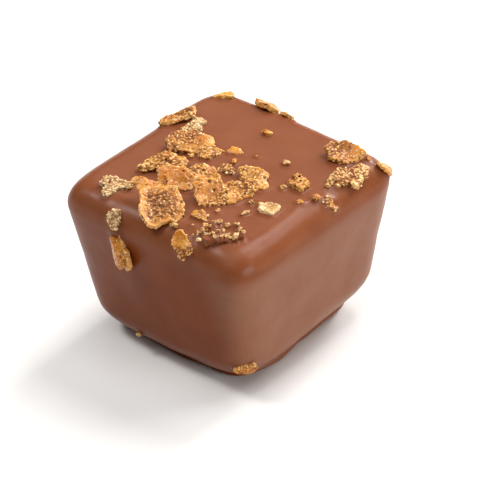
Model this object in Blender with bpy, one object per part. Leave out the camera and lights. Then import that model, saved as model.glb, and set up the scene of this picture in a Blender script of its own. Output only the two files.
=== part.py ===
"""A square milk chocolate praline with caramelised wafer flakes scattered over its top.

Metres, +Z up. The origin is the middle of the flat base that the praline rests on. The photographed
corner points to +X -Y, so the two walls that show are the -Y one and the +X one. The flakes lie where the
photo shows them, and the two walls that don't show have none.
"""

import math
import random
from typing import NamedTuple

import bmesh
import bpy
from mathutils import Matrix, Vector, noise
from mathutils.bvhtree import BVHTree

MM = 0.001

# The coated block: wider at the shoulder than at the belly, which curls under. TOP_HALF is what the
# leaning walls would reach at the full height
TOP_HALF = 12.5 * MM
HEIGHT = 17.9 * MM
WALL_LEAN = 0.125
SHOULDER_RADIUS = 2.7 * MM
TOP_CROWN = 0.15 * MM
TOP_CORNER_POWER = 9.5
BASE_CORNER_POWER = 4.0
BELLY_RADIUS = 4.4 * MM
BELLY_SWING = 0.4 * MM
BELLY_LIFT = 1.0 * MM
LIFTED_SIDE = math.radians(50)

# The thin foot of chocolate that ran out under the belly, a little off centre
FOOT_HALF = 8.6 * MM
FOOT_BULGE = 0.35 * MM
FOOT_SHIFT = Vector((-0.45, 0.3, 0.0)) * MM
FOOT_WAVE = 0.5 * MM

# How finely the block is divided
COLUMNS = 20
FOOT_ROWS = 3
BELLY_ROWS = 5
WALL_ROWS = 5
SHOULDER_ROWS = 5

# The slow unevenness of a hand coated block
SWAY = 0.2 * MM
SWAY_LENGTH = 7.0 * MM

# The wafer flakes: leaf thickness, how ragged the rim is, how far the leaf waves, how it is divided, and
# how deep it is sunk in the chocolate
FLAKE_THICKNESS = 0.5 * MM
FLAKE_RAG = 0.2
FLAKE_WAVE = 0.35 * MM
FLAKE_WAVE_LENGTH = 1.5 * MM
LEAF_STEP = 0.85 * MM
FLAKE_GRIP = 0.15 * MM
FIRST_SEED = 11

# Milk chocolate
CHOCOLATE = (0.29, 0.095, 0.042, 1.0)
CHOCOLATE_ROUGHNESS = 0.38


class Flake(NamedTuple):
    """A leaf of wafer: centre in mm, the way its face looks, the turn of its length, and its size in mm."""

    centre: tuple
    bearing: float
    rise: float
    turn: float
    length: float
    width: float
    power: float = 3.0
    thickness: float = 1.0
    on_block: bool = True


class Crumb(NamedTuple):
    """A small lump of wafer: centre, the turn of its length, and its size, in mm."""

    centre: tuple
    turn: float
    length: float
    width: float


# Bearing and rise say where a face looks, in degrees round from +X and up from level. The turn runs round
# from +X seen from above, and a leaf on a wall lies level when its turn is its bearing and 90 more.
FLAKES = (
    # The largest leaf and its lobe, leaning on the ones behind it
    Flake((0.0, -9.6, 18.6), -47, 70, 135, 4.8, 4.4, 5.0),
    Flake((-2.6, -8.7, 19.4), -47, 72, 22, 3.2, 1.7, on_block=False),
    # The rest of the cluster, left to right
    Flake((-6.4, -9.0, 18.2), -47, 82, 60, 3.4, 2.5),
    Flake((-5.2, -3.5, 18.5), -47, 75, 48, 5.4, 2.5),
    Flake((-2.1, -5.3, 18.7), -47, 65, 30, 4.2, 3.0, 4.0),
    Flake((-0.8, -2.5, 18.3), -47, 80, 48, 3.1, 2.2),
    Flake((2.3, -5.1, 18.5), -47, 70, 138, 3.6, 3.2, 5.0),
    Flake((0.6, -0.7, 18.2), -47, 78, 5, 2.1, 1.2),
    Flake((4.5, -2.9, 18.6), -47, 70, 140, 3.3, 3.2, 4.0),
    Flake((4.0, -0.2, 18.3), -47, 80, 140, 3.5, 2.9, 4.0),
    # Behind the cluster
    Flake((-5.3, 0.4, 18.5), -47, 72, 38, 5.0, 2.8, 2.5, 1.5),
    Flake((-2.5, 0.5, 18.3), -47, 75, 45, 2.8, 1.9),
    Flake((-0.7, 2.3, 18.2), -47, 80, 20, 2.1, 1.0),
    Flake((-7.3, 3.6, 18.2), -47, 76, 75, 2.9, 1.9),
    # On the back edges and the back corner
    Flake((-9.8, 3.8, 18.1), 180, 76, 70, 4.2, 1.6),
    Flake((-9.4, 10.2, 18.0), 135, 75, 45, 2.2, 1.2),
    Flake((-4.4, 11.3, 17.9), 90, 58, 175, 2.9, 1.6),
    Flake((-1.9, 11.3, 17.6), 90, 55, 5, 1.8, 0.9),
    # By the right edge and corner
    Flake((8.2, 8.7, 18.4), -47, 75, 42, 4.3, 2.8),
    Flake((10.6, 6.3, 18.0), 0, 64, 72, 4.8, 3.0, 4.0),
    Flake((11.8, 11.2, 16.7), 45, 40, 80, 2.3, 1.6),
    Flake((11.3, 2.2, 17.1), 0, 42, 40, 1.8, 1.3),
    # Single ones near the front
    Flake((7.8, 1.9, 18.2), -47, 85, 10, 2.2, 1.9, 2.5, 1.4),
    Flake((8.1, -3.0, 18.2), -47, 80, 20, 2.2, 1.6),
    Flake((3.7, -8.1, 18.1), -47, 82, 15, 1.9, 1.0),
    # The chocolate covered lump behind the front corner
    Flake((7.1, -9.3, 18.0), -47, 88, 42, 5.0, 2.2, 2.5, 1.6),
    # On the front left shoulder and wall
    Flake((4.6, -11.7, 16.9), -88, 42, 115, 3.0, 2.2, 3.0, 1.3),
    Flake((-4.3, -12.0, 16.6), -90, 25, 97, 1.9, 1.5),
    Flake((-3.5, -12.2, 13.2), -110, 0, 100, 5.0, 2.0, 3.0, 1.6),
    # At the foot of the front corner
    Flake((9.8, -9.5, 3.4), -42, -15, 55, 2.4, 1.2),
)

CRUMBS = (
    Crumb((9.9, 9.8, 17.8), 60, 0.6, 0.5),
    Crumb((-0.7, 6.9, 18.0), 20, 1.0, 0.6),
    Crumb((4.4, 3.8, 18.0), 0, 0.7, 0.5),
    Crumb((0.2, 0.9, 18.1), 120, 0.7, 0.5),
    Crumb((6.8, 0.6, 18.1), 30, 0.6, 0.6),
    Crumb((9.7, -0.3, 17.9), 40, 0.7, 0.5),
    Crumb((10.4, 1.2, 17.8), 80, 0.8, 0.7),
    Crumb((6.0, -3.3, 18.1), 0, 0.5, 0.5),
    Crumb((6.8, -4.9, 18.1), 65, 0.9, 0.4),
    Crumb((4.4, -6.3, 18.1), 0, 0.5, 0.4),
    Crumb((10.0, 3.5, 17.9), 10, 0.6, 0.5),
    Crumb((-5.1, -8.5, 18.1), 100, 0.6, 0.5),
    Crumb((2.6, -10.5, 17.8), 30, 0.8, 0.6),
    Crumb((-3.9, -0.9, 18.1), 0, 0.6, 0.5),
    Crumb((-3.5, -10.3, 2.3), 30, 0.6, 0.5),
)


def arc(centre, radius, start, end, steps):
    """Points on a round stretch of the profile, angles in radians from level, without its first point."""
    angles = [start + (end - start) * i / steps for i in range(1, steps + 1)]
    return [(centre[0] + radius * math.cos(a), centre[1] + radius * math.sin(a)) for a in angles]


def side_profile(bearing):
    """Half-width and height up the side at that bearing, from the flat base's edge to the top's edge."""
    lean = math.atan(WALL_LEAN)
    foot = FOOT_HALF + FOOT_WAVE * noise.noise(Vector((math.cos(bearing), math.sin(bearing), 0.5)) * 2.5)
    swing = math.cos(bearing - LIFTED_SIDE)
    belly = BELLY_RADIUS + BELLY_SWING * swing
    belly_centre = belly + BELLY_LIFT * (0.5 + 0.5 * swing) ** 2
    belly_half = TOP_HALF - WALL_LEAN * (HEIGHT - belly_centre) - belly
    crease_angle = -math.acos((foot - belly_half) / belly)
    crease_height = belly_centre + belly * math.sin(crease_angle)
    points = []
    for i in range(FOOT_ROWS + 1):
        share = i / FOOT_ROWS
        points.append((foot + FOOT_BULGE * math.sin(share * math.pi), crease_height * share))
    points += arc((belly_half, belly_centre), belly, crease_angle, -lean, BELLY_ROWS)
    shoulder_half = TOP_HALF - SHOULDER_RADIUS * (1 + WALL_LEAN)
    shoulder_centre = (shoulder_half, HEIGHT - SHOULDER_RADIUS)
    wall_start = points[-1]
    wall_end = arc(shoulder_centre, SHOULDER_RADIUS, 0.0, -lean, 1)[0]
    for i in range(1, WALL_ROWS + 1):
        share = i / WALL_ROWS
        points.append(tuple(a + (b - a) * share for a, b in zip(wall_start, wall_end)))
    return points + arc(shoulder_centre, SHOULDER_RADIUS, -lean, math.pi / 2, SHOULDER_ROWS)


def on_section(across, along, half, height):
    """A place on the rounded square of that half-width, from a place on the unit square's rim."""
    power = BASE_CORNER_POWER + (TOP_CORNER_POWER - BASE_CORNER_POWER) * math.sqrt(height / HEIGHT)
    spread = (abs(across) ** power + abs(along) ** power) ** (-1 / power)
    return Vector((across * spread * half, along * spread * half, height))


def evened(share):
    """Moves the divisions of a side towards its corners, where the shape turns."""
    return 0.5 * share + 0.5 * math.sin(share * math.pi / 2)


def settled(point):
    """The point with the foot's shift and the slow unevenness added; the flat base keeps its level."""
    rise = min(1.0, point.z / BELLY_RADIUS)
    push = Vector(noise.noise(point / SWAY_LENGTH + Vector((20.0 * k, 0, 0))) for k in (1, 2, 3)) * SWAY
    push.z *= rise
    return point + FOOT_SHIFT * (1 - rise) ** 2 + push


def block_mesh(name, columns):
    """The coated block: a divided cube whose rings are carried onto the side profile."""
    rows = FOOT_ROWS + BELLY_ROWS + WALL_ROWS + SHOULDER_ROWS
    bm = bmesh.new()
    bmesh.ops.create_cube(bm, size=2.0)
    upright = [e for e in bm.edges if abs(e.verts[0].co.z - e.verts[1].co.z) > 1]
    bmesh.ops.subdivide_edges(bm, edges=upright, cuts=rows - 1, use_grid_fill=True)
    level = [e for e in bm.edges if abs(e.verts[0].co.z - e.verts[1].co.z) < 0.5 / rows]
    bmesh.ops.subdivide_edges(bm, edges=level, cuts=columns - 1, use_grid_fill=True)
    profiles = {}
    for vert in bm.verts:
        x, y, z = vert.co
        reach = max(abs(x), abs(y))
        if reach < 1e-6:
            vert.co = Vector((0.0, 0.0, HEIGHT + TOP_CROWN if z > 0 else 0.0))
            continue
        across, along = (math.copysign(evened(abs(c) / reach), c) for c in (x, y))
        bearing = round(math.atan2(along, across), 5)
        if bearing not in profiles:
            profiles[bearing] = side_profile(bearing)
        half, height = profiles[bearing][round((z + 1) / 2 * rows)]
        if reach < 1 - 1e-6:
            half *= reach
            height += TOP_CROWN * (1 - reach * reach) if z > 0 else 0.0
        vert.co = settled(on_section(across, along, half, height))
    bmesh.ops.recalc_face_normals(bm, faces=bm.faces)
    return finished(bm, name)


def facing(centre, bearing, rise, turn):
    """The frame of a leaf at that centre, its Z the way its face looks and its X along its length."""
    towards, up, along = (math.radians(a) for a in (bearing, 90 - rise, turn - bearing))
    looks = Matrix.Rotation(towards, 4, "Z") @ Matrix.Rotation(up, 4, "Y") @ Matrix.Rotation(along, 4, "Z")
    return Matrix.Translation(Vector(centre) * MM) @ looks


def flake_mesh(name, flake, block, rng):
    """A wavy leaf with a ragged rim: a divided sheet carried onto a rounded outline, given its thickness."""
    bm = bmesh.new()
    steps = max(2, round((flake.length + flake.width) * MM / 2 / LEAF_STEP))
    bmesh.ops.create_grid(bm, x_segments=steps, y_segments=steps, size=1.0)
    size = Vector((flake.length, flake.width)) * MM / 2
    phase = Vector((rng.uniform(0, 50), rng.uniform(0, 50), 0))
    for vert in bm.verts:
        reach = max(abs(vert.co.x), abs(vert.co.y))
        spread = 0.0
        if reach > 1e-6:
            across, along = abs(vert.co.x) / reach, abs(vert.co.y) / reach
            spread = (across**flake.power + along**flake.power) ** (-1 / flake.power)
        spread *= 1 - rng.uniform(0, FLAKE_RAG) * reach
        place = Vector((vert.co.x * size.x, vert.co.y * size.y, 0)) * spread
        place.z = FLAKE_WAVE * noise.noise(place / FLAKE_WAVE_LENGTH + phase)
        vert.co = place
    thickness = FLAKE_THICKNESS * flake.thickness
    bmesh.ops.solidify(bm, geom=bm.faces[:], thickness=thickness)
    bmesh.ops.recalc_face_normals(bm, faces=bm.faces)
    middle = sum((v.co for v in bm.verts), Vector()) / len(bm.verts)
    bmesh.ops.translate(bm, vec=Vector((0, 0, -middle.z)), verts=bm.verts)
    frame = facing(flake.centre, flake.bearing, flake.rise, flake.turn)
    bmesh.ops.transform(bm, matrix=frame, verts=bm.verts)
    if flake.on_block:
        grip(bm, block)
    return finished(bm, name)


def grip(bm, block):
    """Moves a topping straight in until its nearest corner is sunk in the block."""
    gaps = []
    for vert in bm.verts:
        place, normal, _, _ = block.find_nearest(vert.co)
        gaps.append(((vert.co - place).dot(normal), normal))
    gap, normal = min(gaps, key=lambda pair: pair[0])
    if gap > -FLAKE_GRIP:
        bmesh.ops.translate(bm, vec=-normal * (gap + FLAKE_GRIP), verts=bm.verts)


def crumb_mesh(name, crumb, block, rng):
    """A small lump: a coarse ball drawn out to the crumb's size, each corner moved a little."""
    bm = bmesh.new()
    bmesh.ops.create_icosphere(bm, subdivisions=1, radius=0.5)
    size = Vector((crumb.length, crumb.width, crumb.width)) * MM
    for vert in bm.verts:
        vert.co = vert.co * size * rng.uniform(0.85, 1.1)
    bmesh.ops.transform(bm, matrix=facing(crumb.centre, 0, 90, crumb.turn), verts=bm.verts)
    grip(bm, block)
    return finished(bm, name)


def finished(bm, name):
    """The mesh of what was built."""
    mesh = bpy.data.meshes.new(name)
    bm.to_mesh(mesh)
    bm.free()
    return mesh


def keep_largest_shell(mesh):
    """Leaves the outer shell alone: drops scraps that touch nothing and any sealed hollow."""
    bm = bmesh.new()
    bm.from_mesh(mesh)
    unseen = set(bm.verts)
    shells = []
    while unseen:
        front = [unseen.pop()]
        shell = list(front)
        while front:
            near = [e.other_vert(v) for v in front for e in v.link_edges]
            front = [v for v in set(near) if v in unseen]
            unseen.difference_update(front)
            shell += front
        shells.append(shell)
    shells.sort(key=len)
    bmesh.ops.delete(bm, geom=[v for shell in shells[:-1] for v in shell], context="VERTS")
    bm.to_mesh(mesh)
    bm.free()


def fused(body, toppings):
    """Unites the block with everything in the toppings collection, and removes the toppings."""
    union = body.modifiers.new("toppings", "BOOLEAN")
    union.operation = "UNION"
    union.operand_type = "COLLECTION"
    union.collection = toppings
    union.solver = "EXACT"
    seen = body.evaluated_get(bpy.context.evaluated_depsgraph_get())
    mesh = bpy.data.meshes.new_from_object(seen)
    body.modifiers.remove(union)
    body.data = mesh
    for obj in list(toppings.objects):
        bpy.data.objects.remove(obj)
    bpy.data.collections.remove(toppings)
    keep_largest_shell(mesh)


def chocolate():
    """The material of the coating."""
    material = bpy.data.materials.new("milk_chocolate")
    material.use_nodes = True
    shader = material.node_tree.nodes["Principled BSDF"]
    shader.inputs["Base Color"].default_value = CHOCOLATE
    shader.inputs["Roughness"].default_value = CHOCOLATE_ROUGHNESS
    shader.inputs["Metallic"].default_value = 0.0
    return material


def main():
    for obj in list(bpy.data.objects):
        bpy.data.objects.remove(obj)
    praline = bpy.data.collections.new("praline")
    toppings = bpy.data.collections.new("toppings")
    for collection in (praline, toppings):
        bpy.context.scene.collection.children.link(collection)
    body = bpy.data.objects.new("praline", block_mesh("praline", COLUMNS))
    praline.objects.link(body)
    corners = [v.co for v in body.data.vertices]
    block = BVHTree.FromPolygons(corners, [p.vertices for p in body.data.polygons])
    for i, flake in enumerate(FLAKES):
        mesh = flake_mesh("flake", flake, block, random.Random(FIRST_SEED + i))
        toppings.objects.link(bpy.data.objects.new("flake", mesh))
    for i, crumb in enumerate(CRUMBS):
        mesh = crumb_mesh("crumb", crumb, block, random.Random(FIRST_SEED + i))
        toppings.objects.link(bpy.data.objects.new("crumb", mesh))
    fused(body, toppings)
    body.data.name = "praline"
    body.data.materials.clear()
    body.data.materials.append(chocolate())


main()
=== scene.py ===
"""Looks of the milk chocolate praline: satin chocolate coating and caramelised wafer flakes.

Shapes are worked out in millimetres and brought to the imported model's metres when a piece is finished.
"""

import math
import random
from typing import NamedTuple

import bmesh
import bpy
import numpy as np
from mathutils import Matrix, Vector, noise
from mathutils.bvhtree import BVHTree


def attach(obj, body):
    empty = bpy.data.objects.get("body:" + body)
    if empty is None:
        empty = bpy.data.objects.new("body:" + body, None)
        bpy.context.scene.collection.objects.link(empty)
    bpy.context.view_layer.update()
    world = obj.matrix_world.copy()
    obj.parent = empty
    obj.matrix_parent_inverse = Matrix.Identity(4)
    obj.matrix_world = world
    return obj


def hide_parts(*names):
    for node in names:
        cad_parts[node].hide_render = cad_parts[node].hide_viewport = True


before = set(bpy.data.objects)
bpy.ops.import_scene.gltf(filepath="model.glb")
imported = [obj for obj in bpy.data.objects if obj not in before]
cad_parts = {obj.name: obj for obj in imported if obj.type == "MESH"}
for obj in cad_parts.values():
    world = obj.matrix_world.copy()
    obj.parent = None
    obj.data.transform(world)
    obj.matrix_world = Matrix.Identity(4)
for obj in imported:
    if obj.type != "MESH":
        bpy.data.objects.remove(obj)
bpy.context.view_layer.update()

MM = 0.001

# The coated block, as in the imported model
TOP_HALF = 12.5
HEIGHT = 17.9
WALL_LEAN = 0.125
SHOULDER_RADIUS = 2.7
TOP_CROWN = 0.15
TOP_CORNER_POWER = 9.5
BASE_CORNER_POWER = 4.0
BELLY_RADIUS = 4.4
BELLY_SWING = 0.4
BELLY_LIFT = 1.0
LIFTED_SIDE = math.radians(50)
FOOT_HALF = 8.6
FOOT_BULGE = 0.35
FOOT_SHIFT = Vector((-0.45, 0.3, 0.0))
FOOT_WAVE = 0.5
FOOT_WAVES = 2.5
SWAY = 0.2
SWAY_LENGTH = 7.0

# How finely the coating is divided
COLUMNS = 132
FOOT_ROWS = 10
BELLY_ROWS = 18
WALL_ROWS = 26
SHOULDER_ROWS = 20

# Relief of the coating: slow ripples, fine ripples, and the rise where it wets a flake. All of it fades out
# over the lowest stretch of the foot
RIPPLE = 0.05
RIPPLE_LENGTH = 2.6
FINE_RIPPLE = 0.012
FINE_RIPPLE_LENGTH = 0.7
MENISCUS = 0.13
MENISCUS_REACH = 0.26
RELIEF_RISE = 1.0

# Bloom with painted sheen, partly a pale bloom and partly the reflection of floor and lights painted into
# the coating:
# where it begins and is full on the right-hand wall, in mm along X; where it fades on that wall and on the
# top, in shoulder radii below the top; and its share on the top
BLOOM_AND_PAINTED_SHEEN_FROM = 6.5
BLOOM_AND_PAINTED_SHEEN_TO = 10.5
WALL_BLOOM_AND_PAINTED_SHEEN_FADE = (0.5, 1.7)
TOP_BLOOM_AND_PAINTED_SHEEN_FADE = (1.45, 0.5)
TOP_BLOOM_AND_PAINTED_SHEEN = 0.4

# Wafer leaves
LEAF_THICKNESS = 0.42
LEAF_STEP = 0.11
LEAF_WAVE = 0.4
LEAF_WAVE_LENGTH = 1.6
LEAF_SUNK = 0.15
OVAL_POWER = 2.6
RIM_RAG = 0.3
RIM_NOTCH = 0.55
RIM_TOOTH = 0.2
NOTCH_SHARE = 0.6
TOOTH_SHARE = 0.6
RIM_BITE = 0.1
UPPER_SCALE = 0.6
UPPER_LIFT = 0.13
UPPER_SHIFT = 0.15
UPPER_PHASE = Vector((7, 3, 0))
LEAF_VOXEL = 0.076
LEAF_SEED = 11
PHASE_SPAN = 50
TOAST_GAIN = 1.3

# Crumbs, and the fine ones strewn over the lump: their reach from its middle, length and slimness
CRUMB_LUMP = 0.8
CRUMB_LUMPS = 2.6
CRUMB_FLATNESS = 0.9
CRUMB_SUNK = 0.1
CRUMB_VOXEL = 0.058
CRUMB_SEED = 100
CRUMB_SKIN = {"coarse": 0.3, "tone": 0.4, "toast": 0.15, "rim": 0.5}
LUMP_SEED = 3
LUMP_CRUMBS = 30
LUMP_REACH = (0.46, 0.48)
LUMP_CRUMB_LENGTH = (0.25, 0.6)
LUMP_CRUMB_SLIMNESS = (0.5, 0.85)
LUMP_CRUMB_RISE = 0.7

# The coarser, softer relief of wafer under chocolate
COATED_RELIEF = {"Grain Size": 0.5, "Grain Height": 0.2, "Roughness Height": 0.22, "Pit Depth": 0.1}

# Roughness of the coating where it is smoothest and dullest
COATING_ROUGHNESS = (0.285, 0.35)

# What a wafer is coloured with, from the painted shade of its pits to its sugar and painted glints; each
# tone changes some
WAFER_COLORS = {
    "Painted Pit Shade": (0.11, 0.027, 0.003, 1),
    "Toasted": (0.27, 0.088, 0.014, 1),
    "Caramel": (0.44, 0.145, 0.009, 1),
    "Golden": (0.57, 0.245, 0.026, 1),
    "Pale": (0.7, 0.41, 0.13, 1),
    # Sugar specks, partly painted glints on the grain tops
    "Sugar and Painted Glint": (0.97, 0.88, 0.66, 1),
}
WAFER_TONES = {
    "golden": {},
    "pale": {
        "Painted Pit Shade": (0.18, 0.07, 0.02, 1),
        "Toasted": (0.32, 0.16, 0.05, 1),
        "Caramel": (0.45, 0.22, 0.055, 1),
        "Golden": (0.54, 0.32, 0.12, 1),
        "Pale": (0.74, 0.56, 0.33, 1),
    },
    "toasted": {
        "Painted Pit Shade": (0.1, 0.025, 0.003, 1),
        "Toasted": (0.22, 0.07, 0.01, 1),
        "Caramel": (0.42, 0.14, 0.01, 1),
        "Golden": (0.55, 0.23, 0.035, 1),
        "Pale": (0.74, 0.5, 0.22, 1),
    },
}

# The soft lights round the praline: bearing and rise in degrees, watts and size. All hang equally far away
SOFTBOXES = {
    "overhead": (0, 90, 1.3, 0.35),
    "behind": (133, 36, 0.4, 0.3),
    "behind, lowest": (97, 15, 1.8, 0.15),
    "behind, low": (90, 33, 4.0, 0.22),
    "behind, high": (90, 60, 2.8, 0.25),
    "left, behind": (204, 53, 3.3, 0.2),
    "left": (270, 60, 1.1, 0.45),
    "right, low": (3, 12, 4.8, 0.45),
    "right, behind": (57, 47, 2.4, 0.3),
}
SOFTBOX_DISTANCE = 0.8
WORLD_LIGHT = 0.04
FLOOR_HALF = 1.5
FLOOR_COLOR = (0.76, 0.745, 0.725, 1)
FLOOR_ROUGHNESS = 0.6

# The view of the photograph: bearing and rise of the camera, its roll, its distance from the middle of the
# block in metres, and how many of the frame's 480 pixels a millimetre takes there
CAMERA_AZIMUTH = 43.44
CAMERA_RISE = 34.8
CAMERA_ROLL = 3.51
CAMERA_DISTANCE = 0.35
CAMERA_SENSOR = 36
PIXELS_PER_MM = 10.0
FRAME_PIXELS = 480
MIDDLE_PIXEL = (232.1, 250.67)
AIM = Vector((0, 0, 0.008))


class Flake(NamedTuple):
    """A leaf of wafer: centre in mm, the way its face looks, the turn of its length, and its size in mm.

    The grain says how coarse it is: in its middle, more along its length, more across it, less at its rim.
    The corners go once round the leaf, in mm along its length and across it. Without them it is oval.
    """

    kind: str
    centre: tuple
    bearing: float
    rise: float
    turn: float
    length: float
    width: float
    thickness: float = 1.0
    curl: float = 0.1
    tone: float = 0.5
    toast: float = 0.3
    on_block: bool = True
    layers: int = 1
    grain: tuple = (0.5, 0.0, 0.0, 0.0)
    corners: tuple = ()


class Crumb(NamedTuple):
    """A small lump of wafer: centre, the turn of its length, and its size, in mm."""

    kind: str
    centre: tuple
    turn: float
    length: float
    width: float
    on_lump: bool = False


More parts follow.
